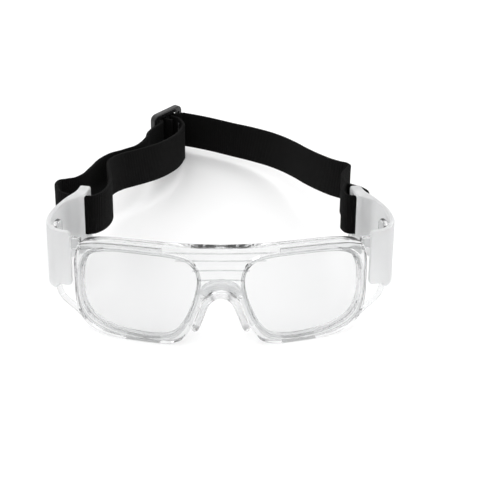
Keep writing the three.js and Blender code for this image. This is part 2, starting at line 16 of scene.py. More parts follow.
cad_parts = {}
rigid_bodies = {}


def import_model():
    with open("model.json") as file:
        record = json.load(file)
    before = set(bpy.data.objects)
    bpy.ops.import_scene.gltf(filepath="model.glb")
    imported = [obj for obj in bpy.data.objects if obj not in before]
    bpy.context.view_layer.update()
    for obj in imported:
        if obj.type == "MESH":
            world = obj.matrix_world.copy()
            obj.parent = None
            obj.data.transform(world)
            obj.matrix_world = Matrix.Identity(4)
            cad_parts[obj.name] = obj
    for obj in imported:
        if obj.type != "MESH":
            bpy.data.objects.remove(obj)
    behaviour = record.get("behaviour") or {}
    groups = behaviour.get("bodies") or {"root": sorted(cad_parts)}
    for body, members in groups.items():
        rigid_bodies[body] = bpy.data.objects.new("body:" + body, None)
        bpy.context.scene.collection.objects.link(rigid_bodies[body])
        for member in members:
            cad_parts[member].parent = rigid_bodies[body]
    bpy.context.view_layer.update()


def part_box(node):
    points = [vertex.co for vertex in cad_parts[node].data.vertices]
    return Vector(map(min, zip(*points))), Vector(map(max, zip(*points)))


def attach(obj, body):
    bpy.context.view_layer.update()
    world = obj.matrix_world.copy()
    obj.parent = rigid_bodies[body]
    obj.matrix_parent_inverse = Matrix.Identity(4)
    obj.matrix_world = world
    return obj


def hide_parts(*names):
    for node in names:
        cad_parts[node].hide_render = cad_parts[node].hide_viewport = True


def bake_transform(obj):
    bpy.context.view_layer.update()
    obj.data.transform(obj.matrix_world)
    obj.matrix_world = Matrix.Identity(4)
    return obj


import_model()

# %% [markdown]
# ## Sizes
# A designer draws goggles from the brow: zero depth is the front of the bridge. The frame's zero is the
# middle of the base instead, so one shift carries every point over. It is read from the buckle, whose place
# behind the brow is known, rather than typed in twice.

# %% Driving sizes, in millimetres
MM = 0.001
GAP = 0.3
OVERALL_WIDTH = 150
STRAP_REACH = 187
FRONT_HEIGHT = 45.8
FRONT_DEPTH = 5
FRONT_RADIUS = 140
FRONT_LEAN = 0.087
RIM_SIDE = 3.1
RIM_BROW = 4.7
LENS_SILL = 3.3
LENS_TO_MIDDLE = 10.2
LENS_THICKNESS = 2
LENS_SETBACK = 1.4
LENS_EDGE = 1
PAD_THICKNESS = 3.2
PAD_DEPTH = 11
PAD_FRONT = 1.2
PAD_FLARE = 3.4
PAD_PEG_HEIGHT = 22.4
ARM_THICKNESS = 2.2
ARM_BULGE = 11.8
ARM_REACH = 34
ARM_FRONT_LOW = 20.5
ARM_END_THICKNESS = 4.6
BAR_WIDTH = 3.6
SLOT_WIDTH = 3.4
SLOT_LOW = 29.2
SLOT_RAIL = 2
WING_THICKNESS = 2.2
STRAP_WIDTH = 19
STRAP_THICKNESS = 1.5
STRAP_SPARE = 0.8
BUCKLE_SPARE = 0.4
BUCKLE_RAIL = 2.8
BUCKLE_BAR = 2.4
BUCKLE_LENGTH = 21
BUCKLE_THICKNESS = 3.2
BUCKLE_BAR_THICKNESS = 2.4
BUCKLE_ANGLE = 0.863

SLOT_HEIGHT = STRAP_WIDTH + 2 * STRAP_SPARE
RIM_HALF_SPAN = OVERALL_WIDTH / 2 - ARM_BULGE
LENS_WIDTH = RIM_HALF_SPAN - RIM_SIDE - LENS_TO_MIDDLE
LENS_HEIGHT = FRONT_HEIGHT - RIM_BROW - LENS_SILL
BUCKLE_OPENING = STRAP_WIDTH + 2 * BUCKLE_SPARE
BUCKLE_HEIGHT = BUCKLE_OPENING + 2 * BUCKLE_RAIL

buckle_low, buckle_high = (np.array(corner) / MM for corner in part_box("strap_buckle"))
BUCKLE_ASIDE = (buckle_low[0] + buckle_high[0]) / 2
BACK_SHIFT = STRAP_REACH - (buckle_low[1] + buckle_high[1]) / 2
print("brow to frame shift", round(BACK_SHIFT, 2), "mm; buckle aside", round(BUCKLE_ASIDE, 2), "mm")


def in_frame(points):
    """Design millimetres to frame metres."""
    return (np.asarray(points, dtype=float) - (0, BACK_SHIFT, 0)) * MM


def add_object(name, data):
    made = bpy.data.objects.new(name, data)
    bpy.context.scene.collection.objects.link(made)
    return made


# %% [markdown]
# ## The camera
# A long lens from well in front, a little under thirty degrees up, shows the front nearly square on, with
# the strap rising behind it. The camera comes first, so that every later look is judged from one place.

# %% Camera
CAMERA_PLACE = (-0.0021, -0.7048, 0.3909)
CAMERA_DROP = math.radians(29.5)
CAMERA_TURN = math.radians(1.338)
CAMERA_ROLL = math.radians(0.549)
CAMERA_LENS, CAMERA_SENSOR = 120.8, 36


def add_camera():
    ahead = Vector((math.sin(CAMERA_TURN) * math.cos(CAMERA_DROP),
                    math.cos(CAMERA_TURN) * math.cos(CAMERA_DROP), -math.sin(CAMERA_DROP)))
    level = Vector((math.cos(CAMERA_TURN), -math.sin(CAMERA_TURN), 0))
    up = level.cross(ahead)
    right = math.cos(CAMERA_ROLL) * level + math.sin(CAMERA_ROLL) * up
    upright = math.cos(CAMERA_ROLL) * up - math.sin(CAMERA_ROLL) * level
    data = bpy.data.cameras.new("camera")
    data.lens, data.sensor_width = CAMERA_LENS, CAMERA_SENSOR
    camera = add_object("camera", data)
    turn = Matrix((right, upright, -ahead)).transposed().to_4x4()
    camera.matrix_world = Matrix.Translation(CAMERA_PLACE) @ turn
    bpy.context.scene.camera = camera
    return camera


print("camera", [round(x, 3) for x in add_camera().location])

# %% [markdown]
# ## Light for clear plastic
# Clear plastic has no colour of its own: it shows as thin lines where its edges bend the view towards
# something darker. A plain white room would make it vanish. So the sky here is bright overhead and falls to
# grey near the horizon, which the camera never sees but every rounded edge does.

# %% Floor, sky and lamps
FLOOR_HALF = 1.6


def add_sky(overhead=1.08, horizon=0.78):
    world = bpy.data.worlds.new("studio")
    bpy.context.scene.world = world
    world.use_nodes = True
    nodes, links = world.node_tree.nodes, world.node_tree.links
    place = nodes.new("ShaderNodeTexCoord")
    split = nodes.new("ShaderNodeSeparateXYZ")
    ramp = nodes.new("ShaderNodeValToRGB")
    ramp.color_ramp.elements[0].position = 0.02
    ramp.color_ramp.elements[0].color = (horizon, horizon, horizon, 1)
    ramp.color_ramp.elements[1].position = 0.2
    ramp.color_ramp.elements[1].color = (overhead, overhead, overhead, 1)
    links.new(place.outputs["Generated"], split.inputs[0])
    links.new(split.outputs["Z"], ramp.inputs[0])
    links.new(ramp.outputs[0], nodes["Background"].inputs["Color"])


def add_lamp(name, place, size, power):
    """A round lamp that points at the middle of the floor."""
    data = bpy.data.lights.new(name, "AREA")
    data.shape = "DISK"
    data.size = size
    data.energy = power
    lamp = add_object(name, data)
    lamp.location = place
    lamp.rotation_euler = (-Vector(place)).to_track_quat("-Z", "Y").to_euler()


bpy.context.scene.view_settings.view_transform = "Standard"
add_sky()
add_lamp("overhead", (0.1, 0.1, 1.1), size=1.2, power=3.2)
add_lamp("back_left", (-0.7, 0.9, 0.8), size=0.6, power=1.2)

# %% [markdown]
# ## Finishes
# A material is a tree of nodes. Writing the tree as sums in Python keeps it readable: the small class below
# wraps one socket, and an expression such as 0.2 + wear * 0.1 adds the Math nodes that work it out.

# %% A socket that takes part in sums
class Shade:
    """One output of a material's node tree; arithmetic on it adds Math nodes."""

    def __init__(self, tree, socket=None):
        self.tree = tree
        self.socket = socket

    def node(self, kind, settings=None, inputs=None, output=0):
        made = self.tree.nodes.new("ShaderNode" + kind)
        for key, value in (settings or {}).items():
            setattr(made, key, value)
        for key, value in (inputs or {}).items():
            if isinstance(value, Shade):
                self.tree.links.new(value.socket, made.inputs[key])
            else:
                made.inputs[key].default_value = value
        return Shade(self.tree, made.outputs[output])

    def math(self, operation, *operands):
        return self.node("Math", {"operation": operation}, dict(enumerate(operands)))

    def __add__(self, other):
        return self.math("ADD", self, other)

    def __mul__(self, other):
        return self.math("MULTIPLY", self, other)

    __radd__ = __add__


def finish(name, numbers, varying):
    """A material: numbers go on the shader's sockets, varying(start) gives what changes over the surface."""
    material = bpy.data.materials.new(name)
    material.use_nodes = True
    tree = material.node_tree
    shader = tree.nodes["Principled BSDF"]
    for key, value in numbers.items():
        shader.inputs[key].default_value = value
    for key, value in varying(Shade(tree)).items():
        tree.links.new(value.socket, shader.inputs[key])
    print("finish", name)
    return material


def blotches(start, scale, detail=2.0, stretch=(1, 1, 1)):
    """Soft noise on the piece's own coordinates, 0 to 1."""
    place = start.node("TexCoord", output="Object")
    spread = start.node("Mapping", inputs={"Vector": place, "Scale": stretch})
    return start.node("TexNoise", inputs={"Vector": spread, "Scale": scale, "Detail": detail}, output="Fac")


def tint(start, amount, low, high):
    """A colour between two, by a number from 0 to 1."""
    return start.node("Mix", {"data_type": "RGBA"}, {"Factor": amount, 6: (*low, 1), 7: (*high, 1)}, output=2)


def relief(start, height, strength, distance):
    return start.node("Bump", inputs={"Height": height, "Strength": strength, "Distance": distance})


# %% [markdown]
# Injection-moulded clear plastic is glossy, with faint flow ripples from the gate and a haze of handling
# marks. The lenses are polished, so they get less of both. The arms come from a mould that was blasted with
# grit, which frosts them: the light still passes, but it scatters.

# %% Clear, frosted and soft plastics
def clear_look(start):
    ripple = blotches(start, 60, stretch=(1, 1, 3))
    haze = blotches(start, 220, 4)
    return {
        "Base Color": tint(start, haze, (0.82, 0.825, 0.828), (0.88, 0.884, 0.886)),
        "Roughness": 0.015 + haze * 0.05,
        "Normal": relief(start, ripple, 0.08, 0.0006),
    }


def lens_look(start):
    smear = blotches(start, 45, 5, stretch=(1, 1, 0.4))
    return {
        "Base Color": tint(start, smear, (0.84, 0.843, 0.846), (0.875, 0.878, 0.88)),
        "Roughness": 0.004 + smear * 0.02,
    }


def frosted_look(start):
    grit = blotches(start, 2600, 3)
    cloud = blotches(start, 70, 3)
    return {
        "Base Color": tint(start, cloud, (0.77, 0.773, 0.776), (0.83, 0.833, 0.836)),
        "Roughness": 0.36 + cloud * 0.12,
        "Normal": relief(start, grit, 0.25, 0.00015),
    }


def silicone_look(start):
    cloud = blotches(start, 120, 3)
    grain = blotches(start, 900, 2)
    return {
        "Base Color": tint(start, cloud, (0.82, 0.824, 0.828), (0.88, 0.883, 0.886)),
        "Roughness": 0.16 + cloud * 0.16,
        "Normal": relief(start, grain, 0.1, 0.0002),
    }


CLEAR = finish("clear_plastic", {"Transmission Weight": 1.0, "IOR": 1.49}, clear_look)
LENS = finish("polished_lens", {"Transmission Weight": 1.0, "IOR": 1.5}, lens_look)
FROSTED = finish("frosted_plastic", {"Transmission Weight": 0.5, "IOR": 1.35}, frosted_look)
SILICONE = finish("soft_silicone", {"Transmission Weight": 0.9, "IOR": 1.33}, silicone_look)

# %% [markdown]
# Elastic webbing is knitted: cross ribs every millimetre or so, with fine lengthwise wales between them. The
# ribs are real geometry later on. The wales and the fuzz are smaller than that, so they are relief, read
# from two numbers that each band carries: how far along the strap, and how far round its edge.

# %% Webbing, buckle and thread
def webbing_look(start):
    along = start.node("Attribute", {"attribute_name": "along"}, output="Fac")
    across = start.node("Attribute", {"attribute_name": "across"}, output="Fac")
    wale = start.math("SINE", across * 520)
    stitch = start.math("SINE", along * 11400)
    fuzz = blotches(start, 3200, 3)
    worn = blotches(start, 60, 4)
    return {
        "Base Color": tint(start, worn * 0.6 + fuzz * 0.4, (0.0012, 0.0012, 0.0013),
                           (0.0034, 0.0033, 0.0032)),
        "Roughness": 0.78 + fuzz * 0.18,
        "Normal": relief(start, wale * stitch + fuzz * 1.4, 0.5, 0.00008),
    }


def buckle_look(start):
    grain = blotches(start, 1800, 2)
    handled = blotches(start, 90, 4)
    return {
        "Base Color": tint(start, handled, (0.005, 0.005, 0.0055), (0.01, 0.01, 0.0105)),
        "Roughness": 0.2 + handled * 0.16,
        "Normal": relief(start, grain, 0.15, 0.0001),
    }


def thread_look(start):
    along = start.node("Attribute", {"attribute_name": "along"}, output="Fac")
    twist = start.math("SINE", along * 15000)
    return {
        "Base Color": tint(start, blotches(start, 1500), (0.008, 0.008, 0.009), (0.026, 0.026, 0.028)),
        "Roughness": 0.5 + blotches(start, 700) * 0.2,
        "Normal": relief(start, twist, 0.5, 0.0001),
    }


SEE_THROUGH = (CLEAR, LENS, FROSTED, SILICONE)
WEBBING = finish("knitted_webbing", {"Specular IOR Level": 0.1, "Sheen Weight": 0.01, "Sheen Roughness": 0.4},
                 webbing_look)
BUCKLE = finish("black_buckle_plastic", {"IOR": 1.5}, buckle_look)
THREAD = finish("bonded_thread", {"Sheen Weight": 0.1}, thread_look)


def floor_look(start):
    grain = blotches(start, 30, 4)
    return {
        "Base Color": tint(start, grain, (0.93, 0.93, 0.93), (0.95, 0.95, 0.95)),
        "Roughness": 0.75 + grain * 0.1,
    }


FLOOR = finish("pale_floor", {}, floor_look)


def add_floor():
    mesh = bpy.data.meshes.new("floor")
    corners = [(x * FLOOR_HALF, y * FLOOR_HALF, 0) for x, y in ((-1, -1), (1, -1), (1, 1), (-1, 1))]
    mesh.from_pydata(corners, [], [(0, 1, 2, 3)])
    mesh.materials.append(FLOOR)
    floor = add_object("floor", mesh)


add_floor()

# %% [markdown]
# ## Smooth lines
# Every outline here passes through a handful of chosen points. A centripetal Catmull-Rom curve does that
# without loops or overshoot, even when the points are unevenly spaced. Measuring it along its length lets
# a band, a bead or a row of stitches be laid by the millimetre.

# %% A line measured along its length
class Line:
    """A smooth curve through points, closed or open; places on it are given by distance."""

    def __init__(self, points, closed=False, per_span=40):
        p = np.array([(*q, 0)[:3] for q in points], dtype=float)
        if closed:
            p = np.vstack([p[-1], p, p[0], p[1]])
        else:
            p = np.vstack([2 * p[0] - p[1], p, 2 * p[-1] - p[-2]])
        t = np.linspace(0, 1, per_span, endpoint=False)[:, None]
        samples = []
        for a, b, c, d in zip(p, p[1:], p[2:], p[3:]):
            before, span, after = (np.sqrt(np.linalg.norm(e)) for e in (b - a, c - b, d - c))
            leave = ((b - a) / before - (c - a) / (before + span) + (c - b) / span) * span
            arrive = ((c - b) / span - (d - b) / (span + after) + (d - c) / after) * span
            samples.append(b + leave * t + (3 * (c - b) - 2 * leave - arrive) * t**2
                           + (2 * (b - c) + leave + arrive) * t**3)
        self.points = np.vstack([*samples, p[-2][None]])
        steps = np.linalg.norm(np.diff(self.points, axis=0), axis=1)
        self.knots = np.concatenate([[0], np.cumsum(steps)])
        self.marks = self.knots[::per_span]
        self.length = self.knots[-1]

    def at(self, distance):
        return np.array([np.interp(distance, self.knots, self.points[:, k]) for k in range(3)]).T

    def heading(self, distance):
        step = 0.02
        ahead = self.at(np.minimum(distance + step, self.length)) - self.at(np.maximum(distance - step, 0))
        return ahead / np.linalg.norm(ahead, axis=-1, keepdims=True)

    def spaced(self, count, ends=True):
        return self.at(np.linspace(0, self.length, count, endpoint=ends))


def rise(x, a, b):
    """A smooth rise from 0 at a to 1 at b."""
    t = np.clip((x - a) / (b - a), 0, 1)
    return t * t * (3 - 2 * t)


print("a unit check: circle of 8 points measures", round(Line(
    [(math.cos(k * math.pi / 4), math.sin(k * math.pi / 4)) for k in range(8)], closed=True).length, 3))

# %% [markdown]
# ## Making meshes
# Three tools make nearly every piece. A plate starts as a flat outline with holes, gets its thickness and
# rounded edges, is sliced into narrow strips, and is then carried on to its curved place. A loft joins
# sections along a line. A band is grown along a path by Geometry Nodes.

# %% Plain meshes
def add_mesh(name, points, faces, material):
    """A smooth-shaded mesh object at the origin; points are design millimetres."""
    mesh = bpy.data.meshes.new(name)
    mesh.from_pydata(in_frame(points), [], faces)
    mesh.materials.append(material)
    return tidy(add_object(name, mesh))


def tidy(piece, merge=2e-6, crease=50):
    """Merges doubles, turns the faces outwards, shades smooth and keeps edges sharper than crease degrees."""
    mesh = piece.data
    work = bmesh.new()
    work.from_mesh(mesh)
    bmesh.ops.remove_doubles(work, verts=work.verts, dist=merge)
    bmesh.ops.dissolve_degenerate(work, edges=work.edges, dist=merge / 4)
    bmesh.ops.recalc_face_normals(work, faces=work.faces)
    if work.calc_volume(signed=True) < 0:
        bmesh.ops.reverse_faces(work, faces=work.faces)
    work.to_mesh(mesh)
    work.free()
    mesh.shade_smooth()
    mesh.set_sharp_from_angle(angle=math.radians(crease))
    return piece


def evaluated(host):
    """The mesh that an object's curve and modifiers come to; the object is used up."""
    graph = bpy.context.evaluated_depsgraph_get()
    mesh = bpy.data.meshes.new_from_object(host.evaluated_get(graph))
    bpy.data.objects.remove(host)
    return mesh


def baked(piece):
    """The same piece with its modifiers worked into a plain mesh."""
    name = piece.name
    piece.name = name + "_plain"
    made = add_object(name, evaluated(piece))
    made.name = made.data.name = name
    return made


# %% A plate: a flat outline carried to its place
def plate(name, outline, holes, half, edge, place, material, strip=1.2):
    """place(across, depth, up) gives design millimetres for arrays; edge is the radius of the rounding."""
    curve = bpy.data.curves.new(name, "CURVE")
    curve.dimensions = "2D"
    curve.fill_mode = "BOTH"
    curve.extrude = half - edge
    curve.bevel_depth = edge
    curve.bevel_resolution = 2
    curve.offset = -edge
    for loop in (outline, *holes):
        spline = curve.splines.new("POLY")
        spline.points.add(len(loop) - 1)
        for point, (across, up) in zip(spline.points, loop):
            point.co = (across, up, 0, 1)
        spline.use_cyclic_u = True
    flat = evaluated(add_object(name + "_flat", curve))
    work = bmesh.new()
    work.from_mesh(flat)
    bmesh.ops.remove_doubles(work, verts=work.verts, dist=1e-4)
    low = min(v.co.x for v in work.verts)
    high = max(v.co.x for v in work.verts)
    for k in range(1, int((high - low) / strip)):
        bmesh.ops.bisect_plane(work, geom=[*work.verts, *work.edges, *work.faces],
                               plane_co=(low + k * strip, 0, 0), plane_no=(1, 0, 0), dist=1e-5)
    work.to_mesh(flat)
    work.free()
    p = np.array([v.co[:] for v in flat.vertices])
    faces = [tuple(face.vertices) for face in flat.polygons]
    piece = add_mesh(name, place(p[:, 0], p[:, 2], p[:, 1]), faces, material)
    return weigh(piece)


def weigh(piece):
    """Lets broad faces set the shading, so that a rounded edge doesn't darken the face beside it."""
    shade = piece.modifiers.new("weigh", "WEIGHTED_NORMAL")
    shade.keep_sharp = True
    shade.weight = 90
    return baked(piece)


# %% A loft: sections joined along a line
def loft(name, sections, material):
    """sections is an array (rings, points, 3); both ends are closed by a fan round their middle."""
    rings, count, _ = sections.shape
    points = sections.reshape(-1, 3)
    faces = []
    for i in range(rings - 1):
        for j in range(count):
            k = (j + 1) % count
            faces.append((i * count + j, i * count + k, (i + 1) * count + k, (i + 1) * count + j))
    middles = sections[[0, -1]].mean(axis=1)
    points = np.vstack([points, middles])
    last = (rings - 1) * count
    for j in range(count):
        k = (j + 1) % count
        faces.append((k, j, rings * count))
        faces.append((last + j, last + k, rings * count + 1))
    return add_mesh(name, points, faces, material)


def rounded_section(width, height, corner, steps=5):
    """A rounded rectangle round the origin, as an array (points, 2)."""
    points = []
    for sx, sy, start in ((1, -1, -0.5), (1, 1, 0), (-1, 1, 0.5), (-1, -1, 1)):
        for k in range(steps + 1):
            angle = math.pi * (start + 0.5 * k / steps)
            points.append((sx * (width / 2 - corner) + corner * math.cos(angle),
                           sy * (height / 2 - corner) + corner * math.sin(angle)))
    return np.array(points)


def mirrored(piece, name):
    """A copy of a piece on the other side of the wearer."""
    mesh = piece.data.copy()
    mesh.name = name
    mesh.transform(Matrix.Scale(-1, 4, (1, 0, 0)))
    mesh.flip_normals()
    return add_object(name, mesh)


print("plate, loft and mirror are ready")

# %% [markdown]
# ## A band along a path
# Webbing, the bead round a lens opening and the bar along the brow are all one section swept along a line.
# Geometry Nodes suits that: the path goes in as a curve, the tree resamples it evenly, sweeps a rounded
# section with its width kept upright, and lifts a cross rib every pitch. Each vertex also keeps how far
# along the path it is, so a finish can follow the strap round its turns.

# %% The band tree
class Tree:
    """A Geometry Nodes tree with named inputs; node() adds a node and sets or links its inputs."""

    def __init__(self, name, first, numbers, counts=()):
        self.tree = bpy.data.node_groups.new(name, "GeometryNodeTree")
        kinds = [(first, "Geometry"), *((n, "Float") for n in numbers), *((n, "Int") for n in counts),
                 ("Material", "Material")]
        for label, kind in kinds:
            self.tree.interface.new_socket(label, in_out="INPUT", socket_type="NodeSocket" + kind)
        self.tree.interface.new_socket("Made", in_out="OUTPUT", socket_type="NodeSocketGeometry")
        self.given = self.node("NodeGroupInput")

    def node(self, kind, settings=(), inputs=()):
        made = self.tree.nodes.new(kind)
        for key, value in dict(settings).items():
            setattr(made, key, value)
        for key, value in dict(inputs).items():
            if isinstance(value, bpy.types.NodeSocket):
                self.tree.links.new(value, made.inputs[key])
            else:
                made.inputs[key].default_value = value
        return made.outputs

    def math(self, operation, a, b=0.0):
        return self.node("ShaderNodeMath", {"operation": operation}, {0: a, 1: b})[0]

    def store(self, geometry, label, value):
        return self.node("GeometryNodeStoreNamedAttribute", {"data_type": "FLOAT", "domain": "POINT"},
                         {"Geometry": geometry, "Name": label, "Value": value})[0]

    def ending(self, geometry):
        """Realize Instances, Set Material and the output."""
        geometry = self.node("GeometryNodeRealizeInstances", (), {"Geometry": geometry})[0]
        geometry = self.node("GeometryNodeSetMaterial", (),
                             {"Geometry": geometry, "Material": self.given["Material"]})[0]
        self.node("NodeGroupOutput", (), {"Made": geometry})
        return self.tree


def grown(name, data, tree, given):
    """Runs a tree on a host made of this data, and returns the result as a plain mesh."""
    host = add_object(name + "_host", data)
    grow = host.modifiers.new("grow", "NODES")
    grow.node_group = tree
    for item in tree.interface.items_tree:
        if item.name in given:
            grow[item.identifier] = given[item.name]
    mesh = evaluated(host)
    mesh.name = name
    return mesh


def band_tree():
    tree = Tree("band_along_path", "Path",
                ("Width", "Thickness", "Corner", "Spacing", "Rib Pitch", "Rib Height", "Start"))
    node, math_node, given = tree.node, tree.math, tree.given
    path = node("GeometryNodeResampleCurve", {"mode": "LENGTH"},
                {"Curve": given["Path"], "Length": given["Spacing"]})[0]
    path = node("GeometryNodeSetCurveNormal", {"mode": "Z_UP"}, {"Curve": path})[0]
    path = tree.store(path, "along",
                      math_node("ADD", node("GeometryNodeSplineParameter")["Length"], given["Start"]))
    section = node("GeometryNodeCurvePrimitiveQuadrilateral", (),
                   {"Width": given["Thickness"], "Height": given["Width"]})[0]
    section = node("GeometryNodeFilletCurve", {"mode": "POLY"},
                   {"Curve": section, "Count": 3, "Radius": given["Corner"], "Limit Radius": True})[0]
    section = tree.store(section, "across", node("GeometryNodeSplineParameter")["Factor"])
    swept = node("GeometryNodeCurveToMesh", (),
                 {"Curve": path, "Profile Curve": section, "Fill Caps": True})[0]
    along = node("GeometryNodeInputNamedAttribute", {"data_type": "FLOAT"}, {"Name": "along"})[0]
    wave = math_node("COSINE", math_node("MULTIPLY", math_node("DIVIDE", along, given["Rib Pitch"]),
                                         2 * math.pi))
    offset = node("ShaderNodeVectorMath", {"operation": "SCALE"},
                  {0: node("GeometryNodeInputNormal")[0],
                   "Scale": math_node("MULTIPLY", wave, given["Rib Height"])})[0]
    return tree.ending(node("GeometryNodeSetPosition", (), {"Geometry": swept, "Offset": offset})[0])


BAND = band_tree()


def band(name, points, width, thickness, corner, material, rib=(1.0, 0.0), spacing=0.25, start=0.0,
         closed=False):
    """Sweeps an upright section along design-millimetre points; every size is in millimetres."""
    curve = bpy.data.curves.new(name, "CURVE")
    curve.dimensions = "3D"
    spline = curve.splines.new("POLY")
    spline.points.add(len(points) - 1)
    for point, place in zip(spline.points, in_frame(points)):
        point.co = (*place, 1)
    spline.use_cyclic_u = closed
    sizes = {"Width": width, "Thickness": thickness, "Corner": corner, "Spacing": spacing,
             "Rib Pitch": rib[0], "Rib Height": rib[1], "Start": start}
    given = {label: size * MM for label, size in sizes.items()}
    piece = add_object(name, grown(name, curve, BAND, {**given, "Material": material}))
    return tidy(piece, merge=5e-7, crease=55)


test = band("test_band", Line([(0, 0, 10), (20, 0, 10)]).spaced(40), 19, 1.5, 0.5, WEBBING, rib=(1.1, 0.06))
spans = [round((max(v.co[k] for v in test.data.vertices) - min(v.co[k] for v in test.data.vertices)) / MM, 2)
         for k in range(3)]
print("a 20 mm test band spans", spans, "mm with", len(test.data.vertices), "vertices")
bpy.data.objects.remove(test)

# %% [markdown]
# ## The clear front
# One moulding carries both lenses. Seen from above it is an arc, and it leans back a little as it rises, so a
# place on it is given by three numbers: how far aside, how deep into the plastic, and how high.

# %% Places on the front
def on_front(aside, depth, up):
    angle = np.arcsin(np.asarray(aside, dtype=float) / FRONT_RADIUS)
    radius = FRONT_RADIUS - depth
    return np.stack([radius * np.sin(angle), FRONT_RADIUS - radius * np.cos(angle) + FRONT_LEAN * up,
                     up + 0 * angle], axis=-1)


def lens_outline(grow=0.0, count=96):
    """The opening of the wearer's left eye, anticlockwise seen from the front; grow widens it all round."""
    shape = [
        (0, 0.72), (0.045, 0.42), (0.13, 0.17), (0.215, 0.045), (0.35, 0), (0.55, 0), (0.74, 0.03),
        (0.9, 0.115), (0.975, 0.25), (1, 0.5), (0.985, 0.72), (0.935, 0.87), (0.85, 0.945), (0.7, 0.985),
        (0.45, 1), (0.2, 0.985), (0.08, 0.935), (0.02, 0.84),
    ]
    placed = [(LENS_TO_MIDDLE + a * LENS_WIDTH, LENS_SILL + b * LENS_HEIGHT) for a, b in shape]
    loop = Line(placed, closed=True).spaced(count, ends=False)[:, :2]
    run = np.roll(loop, -1, axis=0) - np.roll(loop, 1, axis=0)
    out = np.stack([run[:, 1], -run[:, 0]], axis=1) / np.linalg.norm(run, axis=1, keepdims=True)
    return loop + grow * out


def flipped(loop):
    return (np.asarray(loop) * (-1, 1))[::-1]


PAD_HALF = [(0, 23.2), (3.6, 22.2), (6.1, 19.6), (7.6, 16.4), (8.9, 12.9), (10.3, 9.2), (11.7, 6)]
PAD_LINE = Line([(-x, up) for x, up in PAD_HALF[:0:-1]] + PAD_HALF)


def beside_pad(share, offset):
    """A point beside the saddle's middle line; share runs 0 to 1 from one leg's tip to the other's."""
    place = PAD_LINE.at(share * PAD_LINE.length)
    run = PAD_LINE.heading(share * PAD_LINE.length)
    return np.array([place[0] - offset * run[1], place[1] + offset * run[0]])


def front_outline():
    edge, top, middle = RIM_HALF_SPAN, FRONT_HEIGHT, LENS_TO_MIDDLE
    side = [
        (middle + 4.2, 5.6), (middle + 6.5, 2.6), (middle + 10.5, 0.7), (middle + 16, 0.02),
        (middle + 33, 0.02), (edge - 11, 1.2), (edge - 5.5, 3.8), (edge - 1.8, 8.4), (edge - 0.3, 15),
        (edge, 24), (edge - 0.1, 34), (edge - 1.6, top - 6), (edge - 4.5, top - 3.2),
        (edge - 13, top - 1.1), (edge - 27, top - 0.1), (edge - 45, top),
    ]
    arch = [beside_pad(0.05 + 0.9 * k / 40, PAD_THICKNESS / 2 + GAP) for k in range(41)]
    half = Line([arch[-1], *side]).spaced(90)[1:, :2]
    half[:, 1] = np.maximum(half[:, 1], 0)
    return np.vstack([arch, half, flipped(half)])


print("front outline has", len(front_outline()), "points, lens opening", len(lens_outline()))

# %% [markdown]
# The moulding is a plate with two holes. A real lens snaps into a groove, so a groove is cut too: in clear
# plastic the groove shows as a second line round each opening, and without it the rims look like jelly. A
# Boolean makes that cut, because the groove's shape is another plate.

# %% Moulding, grooves and lenses
FRONT_ROUNDING, GROOVE_ROUNDING, LENS_ROUNDING = 0.85, 0.05, 0.25


def curved_plate(name, outline, holes, middle_depth, half, edge, material):
    return plate(name, outline, holes, half, edge,
                 lambda across, depth, up: on_front(across, middle_depth + depth, up), material)


def cut(piece, cutter, operation="DIFFERENCE"):
    """The piece with another solid cut out of it or joined to it; the other solid is used up."""
    change = piece.modifiers.new("cut", "BOOLEAN")
    change.operation = operation
    change.solver = "EXACT"
    change.object = cutter
    made = baked(piece)
    bpy.data.objects.remove(cutter)
    return tidy(made, crease=38)


opening = lens_outline()
front = curved_plate("clear_front", front_outline(), [opening, flipped(opening)], FRONT_DEPTH / 2,
                     FRONT_DEPTH / 2, FRONT_ROUNDING, CLEAR)
groove = lens_outline(LENS_EDGE + GAP)
for side, loop in (("left", groove), ("right", flipped(groove))):
    tool = curved_plate("groove_" + side, loop, [], LENS_SETBACK + LENS_THICKNESS / 2,
                        LENS_THICKNESS / 2 + GAP, GROOVE_ROUNDING, CLEAR)
    front = cut(front, tool)
front = weigh(front)
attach(front, "frame")
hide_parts("front_frame")
print("front", len(front.data.polygons), "faces")

lens_edge = lens_outline(LENS_EDGE)
for side, loop in (("left", lens_edge), ("right", flipped(lens_edge))):
    lens = curved_plate("clear_lens_" + side, loop, [], LENS_SETBACK + LENS_THICKNESS / 2,
                        LENS_THICKNESS / 2, LENS_ROUNDING, LENS)
    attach(lens, "frame")
    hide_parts("lens_" + side)
print("lenses", round(LENS_WIDTH + 2 * LENS_EDGE, 1), "mm wide")

# %% [markdown]
# Small mouldings give the front its lines: a raised bar along each brow, four low ridges across the bridge
# and a fine bead round each opening. Each is a section swept along the surface, so the band tree makes them.

# %% Brow bars, bridge ridges and opening beads
BROW_INNER, BROW_OUTER = 25, 60
BROW_BAR = (2.7, 1.3, 0.35)  # width, thickness and corner radius, as in the next two
BEAD = (0.5, 0.5, 0.2)
RIDGE = (0.55, 0.55, 0.22)
BROW_SUNK, BEAD_SUNK, RIDGE_SUNK = 0.15, 0.06, 0.08
BEAD_OUTSIDE = 1.5
RIDGES = ((43.3, 23), (39.9, 19), (35.6, 12), (31.2, 9.5))
RIDGE_SAG = 0.5


def front_trim(name, path, section, closed=False):
    made = band(name, path, *section, CLEAR, spacing=0.8, closed=closed)
    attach(made, "frame")


